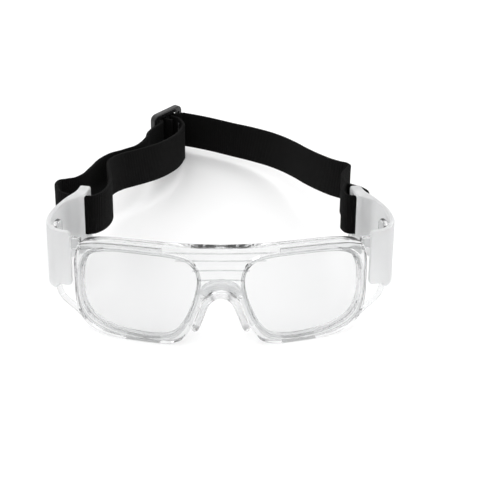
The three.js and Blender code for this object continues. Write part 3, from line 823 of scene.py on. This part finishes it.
brow = Line([(BROW_INNER, 43.7), (36, 43.6), (47, 42.9), (54, 41.8), (BROW_OUTER, 39.9)]).spaced(60)
bead = lens_outline(BEAD_OUTSIDE)
for side, sign in (("left", 1), ("right", -1)):
    front_trim("brow_bar_" + side, on_front(sign * brow[:, 0], BROW_SUNK, brow[:, 1]), BROW_BAR)
    path = on_front(sign * bead[:, 0], BEAD_SUNK, bead[:, 1])
    front_trim("opening_bead_" + side, path, BEAD, closed=True)

for number, (up, reach) in enumerate(RIDGES, 1):
    aside = np.linspace(-reach, reach, 50)
    sag = RIDGE_SAG * np.cos(aside / reach * math.pi / 2)
    front_trim("bridge_ridge_%d" % number, on_front(aside, RIDGE_SUNK, up + sag), RIDGE)
print("trim", 2 + 2 + len(RIDGES), "pieces")

# %% [markdown]
# ## Arms
# An arm is a flat wall bent round the temple: level where it leaves the rim, then turning in to the head.
# It is drawn flat, with its slot and vents, and bent afterwards. It thickens towards the slot, where the
# strap pulls.

# %% Places on an arm
ARM_FRONT_HIGH = FRONT_HEIGHT + 0.8
ARM_END_HIGH = SLOT_LOW + SLOT_HEIGHT + SLOT_RAIL
ARM_FRONT = on_front(RIM_HALF_SPAN, 0, (ARM_FRONT_LOW + ARM_FRONT_HIGH) / 2)[1]
ARM_BACK = ARM_FRONT + ARM_REACH
WIDEST = OVERALL_WIDTH / 2 - ARM_THICKNESS / 2
ARM_LINE = Line([
    (RIM_HALF_SPAN + GAP + 0.5, ARM_FRONT + 0.6), (WIDEST - 5.2, ARM_FRONT + 1.8),
    (WIDEST - 1, ARM_FRONT + 6), (WIDEST, ARM_FRONT + 11.5), (WIDEST - 1.7, ARM_FRONT + 17.2),
    (WIDEST - 6.5, ARM_BACK - 11.6), (WIDEST - 10.9, ARM_BACK - 7.6), (WIDEST - 12.5, ARM_BACK - 4),
    (WIDEST - 13.4, ARM_BACK),
])
SLOT_START = ARM_LINE.length - BAR_WIDTH - SLOT_WIDTH


def on_arm(along, outwards, up):
    along = np.clip(along, 0, ARM_LINE.length)
    place, run = ARM_LINE.at(along), ARM_LINE.heading(along)
    return np.stack([place[..., 0] + outwards * run[..., 1], place[..., 1] - outwards * run[..., 0],
                     up + 0 * place[..., 0]], axis=-1)


def arm_high(along):
    return ARM_FRONT_HIGH + (ARM_END_HIGH - ARM_FRONT_HIGH) * rise(along, 0.35 * ARM_LINE.length, SLOT_START)


def arm_low(along):
    return ARM_FRONT_LOW - 3 * rise(along, 5, 8) + 5.7 * rise(along, 16, SLOT_START)


def arm_thick(along):
    return ARM_THICKNESS + (ARM_END_THICKNESS - ARM_THICKNESS) * rise(along, SLOT_START - 9, SLOT_START - 2)


print("arm line", round(ARM_LINE.length, 1), "mm long")

# %% An arm
SNAP_PEG_ALONG = 17
SNAP_PEG_UPS = (FRONT_HEIGHT - 7.4, FRONT_HEIGHT - 2.8)
SNAP_PEG_RADIUS = 1.1
VENT_AT, VENT_LENGTH, VENT_HEIGHT, VENT_LOWS = 15, 5, 1.4, (27.5, 31.5)
ARM_ROUNDING, SLOT_CORNER, VENT_CORNER = 0.45, 0.7, 0.6


def arc(middle, radius, start, turn, steps=6):
    angles = start + np.linspace(0, turn, steps)
    return [(middle[0] + radius * math.cos(a), middle[1] + radius * math.sin(a)) for a in angles]


def arm_outline(corner=1.6):
    end = ARM_LINE.length
    along = np.linspace(corner, end - corner, 60)
    low = list(zip(along, arm_low(along)))
    high = list(zip(along[::-1], arm_high(along[::-1])))
    quarter = math.pi / 2
    return np.array(
        low[1:-1] + arc((end - corner, arm_low(end) + corner), corner, -quarter, quarter)
        + arc((end - corner, arm_high(end) - corner), corner, 0, quarter) + high[1:-1]
        + arc((corner, arm_high(0) - corner), corner, quarter, quarter)
        + arc((corner, arm_low(0) + corner), corner, 2 * quarter, quarter))


def box_hole(along, up, length, height, corner):
    return rounded_section(length, height, corner) + (along + length / 2, up + height / 2)


def bend_arm(along, depth, up):
    thick = arm_thick(along)
    inwards = (thick - ARM_THICKNESS) / 2
    return on_arm(along, depth / ARM_THICKNESS * thick - inwards, up)


arm_holes = [box_hole(SLOT_START, SLOT_LOW, SLOT_WIDTH, SLOT_HEIGHT, SLOT_CORNER)]
arm_holes += [box_hole(VENT_AT, low, VENT_LENGTH, VENT_HEIGHT, VENT_CORNER) for low in VENT_LOWS]
arm_left = plate("frosted_arm_left", arm_outline(), arm_holes, ARM_THICKNESS / 2, ARM_ROUNDING, bend_arm,
                 FROSTED, strip=0.8)
arm_right = mirrored(arm_left, "frosted_arm_right")
for side, arm in (("left", arm_left), ("right", arm_right)):
    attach(arm, "frame")
    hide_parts("arm_" + side)
print("arms", len(arm_left.data.polygons), "faces each")

# %% [markdown]
# The front reaches inside each arm with a flat tab that carries two snap pegs, and with a round bar that
# leaves the rim low down and climbs to the tab. The gap between bar and rim lets air in behind the lens.

# %% Tabs, lower bars and snap pegs
WING_INSET = ARM_THICKNESS / 2 + GAP + WING_THICKNESS / 2
WING_HEIGHT = 9.3
WING_LOW = FRONT_HEIGHT - WING_HEIGHT
WING_ROOT_DROP, WING_RISE, WING_CORNER = 3.8, 2.6, 0.7
WING_BACK = 24
LOWER_BAR_RADIUS = 1.25
PEG_SUNK, PEG_PROUD = 0.1, 0.3


def round_section(line, distance, radius, count=16):
    """A circle square to a line."""
    run = line.heading(distance)
    beside = np.cross(run, (0.2, 0.9, 0.1))
    beside /= np.linalg.norm(beside)
    above = np.cross(run, beside)
    angles = np.linspace(0, 2 * math.pi, count, endpoint=False)[:, None]
    return line.at(distance) + radius * (np.cos(angles) * beside + np.sin(angles) * above)


def rod(name, line, radius, material, rings=48, round_ends=True):
    """A round bar along a line, with domed ends."""
    distances = np.linspace(0, line.length, rings)
    radii = np.full(rings, float(radius))
    if round_ends:
        dome = np.array([0.05, 0.2, 0.45, 0.75])
        distances = np.concatenate([dome * radius, distances[1:-1], (line.length - dome * radius)[::-1]])
        slim = radius * np.sqrt(1 - (1 - dome) ** 2)
        radii = np.concatenate([slim, radii[1:-1], slim[::-1]])
    order = np.argsort(distances)
    sections = np.array([round_section(line, distances[k], radii[k]) for k in order])
    return loft(name, sections, material)


def wing_tab():
    in_rim = [on_front(x, FRONT_DEPTH - WING_THICKNESS / 2 - 0.2, (WING_LOW + FRONT_HEIGHT) / 2)[:2]
              for x in (RIM_HALF_SPAN - 1.4, RIM_HALF_SPAN - 0.2)]
    inside = [on_arm(along, -WING_INSET, 0)[:2] for along in (6, 9, 13, 18, WING_BACK)]
    line = Line([*in_rim, *inside])
    rings = []
    for share in np.linspace(0, 1, 44):
        place, run = line.at(share * line.length), line.heading(share * line.length)
        high = FRONT_HEIGHT - WING_ROOT_DROP + WING_RISE * rise(share, 0.15, 0.7)
        round_off = 1 - 0.35 * rise(share, 0.93, 1)
        section = rounded_section(WING_THICKNESS * round_off, (high - WING_LOW) * round_off, WING_CORNER)
        rings.append([(place[0] + a * run[1], place[1] - a * run[0], (high + WING_LOW) / 2 + b)
                      for a, b in section])
    return loft("side_tab_left", np.array(rings), CLEAR)


lower_line = Line([
    on_front(RIM_HALF_SPAN - 4.4, FRONT_DEPTH / 2, 5.6), on_front(RIM_HALF_SPAN - 0.5, FRONT_DEPTH / 2, 8.4),
    on_arm(8, -WING_INSET, 13.5), on_arm(10.5, -WING_INSET, ARM_FRONT_LOW + 2),
    on_arm(12, -WING_INSET, WING_LOW + 1),
])
side_pieces = [wing_tab(), rod("lower_bar_left", lower_line, LOWER_BAR_RADIUS, SILICONE)]
peg_ends = (WING_THICKNESS / 2 - PEG_SUNK - WING_INSET, WING_THICKNESS / 2 + GAP + PEG_PROUD - WING_INSET)
for number, up in enumerate(SNAP_PEG_UPS, 1):
    peg_line = Line([on_arm(SNAP_PEG_ALONG, out, up) for out in peg_ends])
    side_pieces.append(rod("snap_peg_left_%d" % number, peg_line, SNAP_PEG_RADIUS, FROSTED, rings=6,
                           round_ends=False))
for piece in list(side_pieces):
    side_pieces.append(mirrored(piece, piece.name.replace("left", "right")))
for piece in side_pieces:
    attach(piece, "frame")
print("side pieces", len(side_pieces))

# %% [markdown]
# ## Nose saddle
# The saddle is a strip of soft silicone bent over the nose. Behind the front its legs spread to lie on the
# cheeks. It is a loft: a rounded section carried along the arch, slimmer at the two tips, joined to a plate
# behind the bridge with a peg at each side.

# %% Nose saddle
PAD_PLATE_HALF, PAD_PLATE_RISE, PAD_PLATE_THICKNESS = 9.8, 7.6, 2
PAD_PEG_RADIUS = 0.9
PAD_PEG_ROOT, PAD_PEG_LENGTH, PAD_PEG_INSET = 1, 2.4, 1.6


def saddle_arch():
    rings = []
    for share in np.concatenate([[0.002, 0.008, 0.02], np.linspace(0.04, 0.96, 60), [0.98, 0.992, 0.998]]):
        tip = min(share, 1 - share) / 0.04
        slim = math.sqrt(1 - (1 - min(tip, 1)) ** 2)
        section = rounded_section(PAD_THICKNESS * slim, PAD_DEPTH * (0.8 + 0.2 * slim), 1.3 * slim)
        ring = []
        for thick, deep in section:
            across, up = beside_pad(share, thick)
            back = deep + PAD_DEPTH / 2
            spread = PAD_FLARE * (2 * share - 1) * rise(back, FRONT_DEPTH - 1, PAD_DEPTH + 2)
            ring.append((across + spread, on_front(across, PAD_FRONT, up)[1] + back, up))
        rings.append(ring)
    return loft("nose_saddle", np.array(rings), SILICONE)


plate_edge = [(PAD_PLATE_HALF * math.cos(a), PAD_PEG_HEIGHT - 0.8 + PAD_PLATE_RISE * math.sin(a))
              for a in np.linspace(0, math.pi, 33)]
saddle_plate = curved_plate("saddle_plate", plate_edge, [], FRONT_DEPTH + GAP + PAD_PLATE_THICKNESS / 2,
                            PAD_PLATE_THICKNESS / 2, 0.6, SILICONE)
saddle = cut(saddle_arch(), saddle_plate, "UNION")
for sign in (-1, 1):
    root = on_front(sign * (LENS_TO_MIDDLE - PAD_PEG_INSET), FRONT_DEPTH + GAP + PAD_PEG_ROOT, PAD_PEG_HEIGHT)
    peg_line = Line([root, root - (0, PAD_PEG_LENGTH + GAP + PAD_PEG_ROOT, 0)])
    peg = rod("saddle_peg", peg_line, PAD_PEG_RADIUS, SILICONE, rings=8)
    saddle = cut(saddle, peg, "UNION")
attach(saddle, "frame")
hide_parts("nose_pad")
print("saddle", len(saddle.data.polygons), "faces")

# %% [markdown]
# ## Slide buckle
# A slide buckle is a flat moulding with three bars. The strap's end is sewn round the middle bar, and the
# strap itself passes over it, so pulling one side shortens the loop. It is a thick plate with one opening and
# a thinner bar set across the middle of it, both turned to lie along the strap.

# %% Slide buckle
BUCKLE_CORNER, BUCKLE_OPENING_CORNER, BUCKLE_ROUNDING = 3, 0.8, 0.6
BUCKLE_BAR_CORNER, BUCKLE_BAR_ROUNDING, BUCKLE_BAR_SUNK = 0.6, 0.4, 0.5
BUCKLE_ALONG = np.array([math.cos(BUCKLE_ANGLE), math.sin(BUCKLE_ANGLE), 0])
BUCKLE_OUT = np.array([-math.sin(BUCKLE_ANGLE), math.cos(BUCKLE_ANGLE), 0])
BUCKLE_MIDDLE = np.array([BUCKLE_ASIDE, STRAP_REACH, 0])


def place_buckle(along, out, up):
    flat = BUCKLE_MIDDLE + np.multiply.outer(along, BUCKLE_ALONG) + np.multiply.outer(out, BUCKLE_OUT)
    flat[..., 2] += up + BUCKLE_HEIGHT / 2
    return flat


buckle_opening = rounded_section(BUCKLE_LENGTH - 2 * BUCKLE_BAR, BUCKLE_OPENING, BUCKLE_OPENING_CORNER)
buckle_edge = rounded_section(BUCKLE_LENGTH, BUCKLE_HEIGHT, BUCKLE_CORNER)
buckle = plate("slide_buckle", buckle_edge, [buckle_opening], BUCKLE_THICKNESS / 2, BUCKLE_ROUNDING,
               place_buckle, BUCKLE, strip=3)
bar_edge = rounded_section(BUCKLE_BAR, BUCKLE_OPENING + 2 * BUCKLE_BAR_SUNK, BUCKLE_BAR_CORNER)
middle_bar = plate("slide_buckle_bar", bar_edge, [], BUCKLE_BAR_THICKNESS / 2, BUCKLE_BAR_ROUNDING,
                   place_buckle, BUCKLE, strip=3)
for piece in (buckle, middle_bar):
    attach(piece, "buckle")
    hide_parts("strap_buckle")
print("buckle faces", len(buckle.data.polygons), "bar faces", len(middle_bar.data.polygons))
print("buckle", BUCKLE_LENGTH, "by", round(BUCKLE_HEIGHT, 1), "mm")

# %% [markdown]
# ## The strap's one route
# The strap is a single length of webbing. It is sewn round the left arm's bar, goes round the back of the
# head, weaves through the buckle, comes forward to the right arm, passes its slot and returns inside to the
# buckle, where its end is sewn. Drawing it as one line and cutting that line up afterwards means that
# neighbouring lengths always meet exactly, whatever each one has to follow when the strap moves.

# %% Route of the strap, seen from above
SLOT_X, SLOT_Y = on_arm(SLOT_START + SLOT_WIDTH / 2, -(ARM_END_THICKNESS - ARM_THICKNESS) / 2, 0)[:2]
TACK_FROM_SLOT = 15.5
TACK_BACK = SLOT_Y + TACK_FROM_SLOT
INNER_TURN = BUCKLE_BAR / 2 + STRAP_THICKNESS / 2 + GAP + 0.05
OUTER_TURN = INNER_TURN + STRAP_THICKNESS + GAP + 0.2


def at_buckle(*places):
    return [tuple(place_buckle(along, out, 0)[:2]) for along, out in places]


ROUTE_SLOT = (60.55, 46.4)
ROUTE_BUCKLE = (-27.8, 188.4)
STRAP_SET = 20


def on_route(*places):
    """Places drawn for one slot and one buckle, carried to where the slot and the buckle are."""
    start = ROUTE_SLOT[1] + TACK_FROM_SLOT
    moved = []
    for across, back in places:
        far = min(max((back - start) / (ROUTE_BUCKLE[1] - STRAP_SET - start), 0), 1)
        wider = math.copysign(SLOT_X - ROUTE_SLOT[0], across)
        moved.append((across + (1 - far) * wider + far * (BUCKLE_ASIDE - ROUTE_BUCKLE[0]),
                      back + (1 - far) * (SLOT_Y - ROUTE_SLOT[1]) + far * (STRAP_REACH - ROUTE_BUCKLE[1])))
    return moved


LEFT_LOOP = [
    (SLOT_X - 4.4, TACK_BACK + 0.4), (SLOT_X - 5.8, SLOT_Y + 10), (SLOT_X - 6.2, SLOT_Y + 4.6),
    (SLOT_X - 4.4, SLOT_Y + 0.6), (SLOT_X - 0.4, SLOT_Y - 0.2), (SLOT_X + 3.2, SLOT_Y + 0.4),
    (SLOT_X + 4.3, SLOT_Y + 4.4), (SLOT_X + 2, SLOT_Y + 9.6), (SLOT_X - 2.6, TACK_BACK),
]
LEFT_SIDE = on_route((55.95, 70), (55.95, 79))
LEFT_BACK = on_route(
    (57.95, 86.5), (59.25, 90.3), (60.1, 94), (59.2, 97.8), (56, 101.8), (52, 107.2), (47, 116), (42, 126.6),
    (36.8, 139.4), (31.2, 151))
BACK = on_route(
    (25.2, 160.6), (19, 168.2), (12.9, 174.4), (6.4, 179.3), (0, 183.3), (-6, 186.5), (-11, 188.9),
    (-15.2, 190.7))
WEAVE = [*on_route((-17.6, 191.6)), *at_buckle(
    (8.4, -3.9), (OUTER_TURN + 2.6, -3.3), (OUTER_TURN, 0), (OUTER_TURN - 0.9, 3.3), (0, OUTER_TURN + 0.4),
    (0.9 - OUTER_TURN, 3.3), (-OUTER_TURN, 0), (-OUTER_TURN - 2.6, -3.3), (-9.6, -4.4))]
OUTER_BACK = on_route((-33.4, 171.5), (-35.8, 161), (-36.8, 148))
OUTER = on_route((-40.6, 133.5), (-46.6, 124.6), (-52.4, 117), (-56.6, 106.5), (-59.8, 91), (-62.6, 79))
OUTER_SIDE = on_route((-66, 73), (-69.4, 70.2), (-72.4, 67.2), (-73.2, 61.5), (-72.15, 55.8))
RIGHT_FOLD = [
    (-70.4, 51.2), (-SLOT_X - 4, SLOT_Y + 0.9), (-SLOT_X + 0.4, SLOT_Y - 0.2), (-SLOT_X + 4.6, SLOT_Y + 0.4),
    (-53.9, SLOT_Y + 2.2), (-51.8, 52),
]
INNER_SIDE = on_route((-50, 58), (-49.4, 67), (-50.4, 79))
INNER = on_route(
    (-51.8, 91), (-52.4, 102), (-50.6, 110), (-46.8, 117), (-41.6, 123), (-36, 129.4), (-30.4, 137),
    (-25.4, 147))
INNER_BACK = on_route((-21.6, 158), (-19.35, 170.4))
END_FOLD = [*on_route((-18.7, 178)), *at_buckle(
    (INNER_TURN, -6.5), (INNER_TURN, -2.4), (INNER_TURN, 0.3), (INNER_TURN - 0.4, 2), (0, INNER_TURN + 0.45),
    (0.4 - INNER_TURN, 2), (-INNER_TURN, 0.3), (-INNER_TURN, -2.4), (0.9 - INNER_TURN, -5.6))]

SIDE_FRONT, SIDE_BACK, BACK_START = SLOT_Y + 6, 79, 147
LENGTHS = (
    ("webbing_loop_left", LEFT_LOOP), ("webbing_side_left", LEFT_SIDE), ("webbing_left", LEFT_BACK),
    ("webbing_back", BACK), ("webbing_weave", WEAVE), ("webbing_outer_back", OUTER_BACK),
    ("webbing_outer", OUTER), ("webbing_outer_side", OUTER_SIDE), ("webbing_fold_right", RIGHT_FOLD),
    ("webbing_inner_side", INNER_SIDE), ("webbing_inner", INNER), ("webbing_inner_back", INNER_BACK),
    ("webbing_end_fold", END_FOLD),
)
ROUTE = Line([place for _, places in LENGTHS for place in places])
CUTS = [0.0]
for _, places in LENGTHS:
    CUTS.append(ROUTE.marks[min(sum(len(p) for _, p in LENGTHS[:len(CUTS)]), len(ROUTE.marks)) - 1])
print("strap route", round(ROUTE.length), "mm in", len(LENGTHS), "lengths")

# %% [markdown]
# From the side the strap is level at the arms and sinks to the table at the buckle. The two straight runs
# meet in a corner on paper, but webbing is stiff edgeways, so its height is averaged over a short stretch.

# %% Height of the strap
STRAP_HIGH = SLOT_LOW + STRAP_SPARE
STRAP_DOWN = BUCKLE_RAIL + BUCKLE_SPARE
LEVEL_LENGTH = 10.4
LEVEL_BACK = STRAP_REACH - LEVEL_LENGTH
ROUTE_STEP = 0.2


def strap_low(back):
    down = np.clip((back - ARM_BACK) / (LEVEL_BACK - ARM_BACK), 0, 1)
    return STRAP_HIGH + (STRAP_DOWN - STRAP_HIGH) * down


def standing(route, blur=9):
    """The middle line of the band in three dimensions, with its corners eased over blur mm each way."""
    distances = np.arange(0, route.length, ROUTE_STEP)
    flat = route.at(distances)
    up = strap_low(flat[:, 1])
    wide = int(blur / ROUTE_STEP)
    padded = np.concatenate([np.full(wide, up[0]), up, np.full(wide, up[-1])])
    eased = np.convolve(padded, np.ones(2 * wide + 1) / (2 * wide + 1), mode="valid")
    flat[:, 2] = eased + STRAP_WIDTH / 2
    return distances, flat


DISTANCES, MIDDLE = standing(ROUTE)
print("strap middle between", round(MIDDLE[:, 2].min(), 1), "and", round(MIDDLE[:, 2].max(), 1), "mm up")

# %% Lengths of webbing
RIB = (1.15, 0.07)  # pitch and height
WEBBING_CORNER, WEBBING_STEP = 0.45, 0.19


def webbing(name, start, end):
    inside = (DISTANCES > start + 1e-3) & (DISTANCES < end - 1e-3)
    ends = np.array([[np.interp(d, DISTANCES, MIDDLE[:, k]) for k in range(3)] for d in (start, end)])
    points = np.vstack([ends[:1], MIDDLE[inside], ends[1:]])
    return band(name, points, STRAP_WIDTH, STRAP_THICKNESS - 2 * RIB[1], WEBBING_CORNER, WEBBING, rib=RIB,
                spacing=WEBBING_STEP, start=start)


strap = {}
for (name, _), start, end in zip(LENGTHS, CUTS, CUTS[1:]):
    strap[name] = webbing(name, start, end)
    print(name, round(end - start, 1), "mm,", len(strap[name].data.vertices), "vertices")

# %% [markdown]
# What each length follows is the strap's mechanics. The loops stay with the arms, and the two lengths
# round the buckle move with it. On the real strap the sides bend as it swings, the long runs stretch, and the
# lengths beside the buckle give or take a little as it slides; here those lengths are left where they lie.

# %% What each length follows, and what it was cut to
def frame_point(aside, back, up=STRAP_HIGH):
    return tuple(in_frame((aside, back, up)))


SIDE_ENDS = frame_point(0, SIDE_FRONT), frame_point(0, SIDE_BACK)
RUN_ENDS = frame_point(0, SIDE_BACK), frame_point(0, BACK_START)
FAR_ENDS = frame_point(26, 160), frame_point(-15.2, 190)
NEAR_ENDS = frame_point(-36.8, 149), frame_point(-34.5, 180)
END_ENDS = frame_point(-25.4, 147), frame_point(-19.3, 170.4)

for name in ("webbing_loop_left", "webbing_fold_right"):
    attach(strap[name], "frame")
for name in ("webbing_weave", "webbing_end_fold"):
    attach(strap[name], "buckle")
for name in ("webbing_side_left", "webbing_outer_side", "webbing_inner_side"):
    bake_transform(strap[name])
for name in ("webbing_left", "webbing_outer", "webbing_inner"):
    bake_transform(strap[name])
BACK_ENDS = {"webbing_back": FAR_ENDS, "webbing_outer_back": NEAR_ENDS, "webbing_inner_back": END_ENDS}
for name, ends in BACK_ENDS.items():
    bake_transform(strap[name])

STANDS_FOR = {
    "webbing_loop_left": "strap_loop_left", "webbing_side_left": "strap_run_left",
    "webbing_back": "strap_back_band", "webbing_weave": "strap_weave", "webbing_outer": "strap_run_outer",
    "webbing_fold_right": "strap_fold_right", "webbing_inner": "strap_run_inner",
    "webbing_end_fold": "strap_end_fold",
}
for name, node in STANDS_FOR.items():
    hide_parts(node)

for (name, _), start, end in zip(LENGTHS, CUTS, CUTS[1:]):
    (end - start) * MM
print("sheets declared:", len(strap))

# %% [markdown]
# ## Bar tacks
# Each sewn end is held by a bar tack, a dense zigzag across the webbing. A zigzag is a rule: step along,
# step aside, and round the corners. So it is a small node tree of its own.

# %% The zigzag tree
def zigzag_tree():
    tree = Tree("zigzag_stitches", "Geometry", ("Row", "Throw", "Thread Radius"), ("Stitches",))
    node, given = tree.node, tree.given
    top = node("ShaderNodeCombineXYZ", (), {"Z": given["Row"]})[0]
    line = node("GeometryNodeCurvePrimitiveLine", (), {"End": top})[0]
    line = node("GeometryNodeResampleCurve", (), {"Curve": line, "Count": given["Stitches"]})[0]
    side = tree.math("SUBTRACT", tree.math("MODULO", node("GeometryNodeInputIndex")[0], 2), 0.5)
    aside = node("ShaderNodeCombineXYZ", (), {"X": tree.math("MULTIPLY", side, given["Throw"])})[0]
    line = node("GeometryNodeSetPosition", (), {"Geometry": line, "Offset": aside})[0]
    line = node("GeometryNodeFilletCurve", {"mode": "POLY"},
                {"Curve": line, "Count": 4, "Limit Radius": True, "Radius": given["Thread Radius"]})[0]
    line = tree.store(line, "along", node("GeometryNodeSplineParameter")["Length"])
    section = node("GeometryNodeCurvePrimitiveCircle", (),
                   {"Resolution": 8, "Radius": given["Thread Radius"]})[0]
    return tree.ending(node("GeometryNodeCurveToMesh", (),
                            {"Curve": line, "Profile Curve": section, "Fill Caps": True})[0])


ZIGZAG = zigzag_tree()
THREAD_RADIUS = 0.2
TACK_ROW, TACK_THROW, TACK_STITCHES = 15, 2.4, 31
TACK_INSET, END_TACK_INSET = 2.4, 14.5


def bar_tack(name, distance, side):
    """Stitches in an upright row on one side of the webbing, thrown along the route."""
    mesh = grown(name, bpy.data.meshes.new(name + "_row"), ZIGZAG,
                 {"Row": TACK_ROW * MM, "Throw": TACK_THROW * MM, "Thread Radius": THREAD_RADIUS * MM,
                  "Stitches": TACK_STITCHES, "Material": THREAD})
    place = np.array([np.interp(distance, DISTANCES, MIDDLE[:, k]) for k in range(3)])
    run = ROUTE.heading(distance)
    out = side * np.array([run[1], -run[0], 0])
    place = place + out * (STRAP_THICKNESS / 2 + THREAD_RADIUS * 0.4) - (0, 0, TACK_ROW / 2)
    turn = Matrix((Vector(run), Vector(out), Vector((0, 0, 1)))).transposed().to_4x4()
    mesh.transform(Matrix.Translation(in_frame(place)) @ turn)
    return tidy(add_object(name, mesh), merge=5e-7)


tack_left = bar_tack("stitches_left", CUTS[1] - TACK_INSET, 1)
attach(tack_left, "frame")
tack_end = bar_tack("stitches_buckle", CUTS[-2] + END_TACK_INSET, -1)
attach(tack_end, "buckle")
for tack, node in ((tack_left, "bar_tack_left"), (tack_end, "bar_tack_buckle")):
    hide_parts(node)
print("bar tacks", [len(tack.data.vertices) for tack in (tack_left, tack_end)], "vertices")

# %% [markdown]
# ## Shadows
# The clear and frosted pieces would shade the floor and the strap like solid bodies, so they cast no shadow.

# %% Shadows of the see-through pieces
for piece in bpy.data.objects:
    if piece.type == "MESH" and piece.data.materials and piece.data.materials[0] in SEE_THROUGH:
        piece.visible_shadow = False
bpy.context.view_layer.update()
